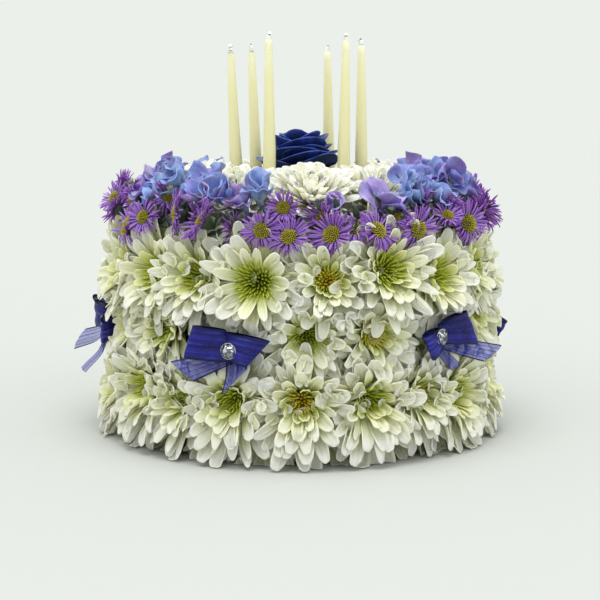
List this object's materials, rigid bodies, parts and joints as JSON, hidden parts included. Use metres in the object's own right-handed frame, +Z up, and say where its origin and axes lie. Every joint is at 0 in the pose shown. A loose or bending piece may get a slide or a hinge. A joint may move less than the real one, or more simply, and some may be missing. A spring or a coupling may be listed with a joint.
{
  "type": "floral birthday cake",
  "caption": "Cake-shaped arrangement of fresh flowers with chrysanthemum sides, an aster and delphinium rim, a rose on top, tapered candles and ribbon bows.",
  "frame": {"origin": "middle of the flat underside of the foam drum", "axes": "+Z up through the middle of the cake, -Y towards the front of the picture, +X to its right"},
  "size_m": [0.2687, 0.2501, 0.2437],
  "materials": {
    "foam": "wet green floral foam, matte",
    "chrysanthemum": "cream-white petals, satin",
    "aster": "violet petals round a yellow disc, satin",
    "delphinium": "sky-blue to lavender petals, satin",
    "rose": "navy petals, velvety",
    "wax": "pale yellow candle wax, semi-gloss",
    "ribbon": "sheer royal blue organza with a clear rhinestone"
  },
  "bodies": {
    "root": {"foam_core": "foam", "upper_mums_01": "chrysanthemum", "upper_mums_02": "chrysanthemum", "upper_mums_03": "chrysanthemum", "upper_mums_04": "chrysanthemum", "upper_mums_05": "chrysanthemum", "upper_mums_06": "chrysanthemum", "upper_mums_07": "chrysanthemum", "upper_mums_08": "chrysanthemum", "upper_mums_09": "chrysanthemum", "upper_mums_10": "chrysanthemum", "upper_mums_11": "chrysanthemum", "upper_mums_12": "chrysanthemum", "upper_mums_13": "chrysanthemum", "upper_mums_14": "chrysanthemum", "upper_mums_15": "chrysanthemum", "upper_mums_16": "chrysanthemum", "upper_mums_17": "chrysanthemum", "upper_mums_18": "chrysanthemum", "lower_mums_01": "chrysanthemum", "lower_mums_02": "chrysanthemum", "lower_mums_03": "chrysanthemum", "lower_mums_04": "chrysanthemum", "lower_mums_05": "chrysanthemum", "lower_mums_06": "chrysanthemum", "lower_mums_07": "chrysanthemum", "lower_mums_08": "chrysanthemum", "lower_mums_09": "chrysanthemum", "lower_mums_10": "chrysanthemum", "lower_mums_11": "chrysanthemum", "top_mums_01": "chrysanthemum", "top_mums_02": "chrysanthemum", "top_mums_03": "chrysanthemum", "aster_spray_01": "aster", "aster_spray_02": "aster", "aster_spray_03": "aster", "aster_spray_04": "aster", "aster_spray_05": "aster", "aster_spray_06": "aster", "delphinium_sprig_01": "delphinium", "delphinium_sprig_02": "delphinium", "delphinium_sprig_03": "delphinium", "delphinium_sprig_04": "delphinium", "delphinium_sprig_05": "delphinium", "delphinium_sprig_06": "delphinium", "delphinium_sprig_07": "delphinium", "rose": "rose", "candle_1": "wax", "candle_2": "wax", "candle_3": "wax", "candle_4": "wax", "candle_5": "wax", "candle_6": "wax", "bow_1": "ribbon", "bow_2": "ribbon", "bow_3": "ribbon", "bow_4": "ribbon", "bow_5": "ribbon", "bow_6": "ribbon"}
  },
  "joints": []
}
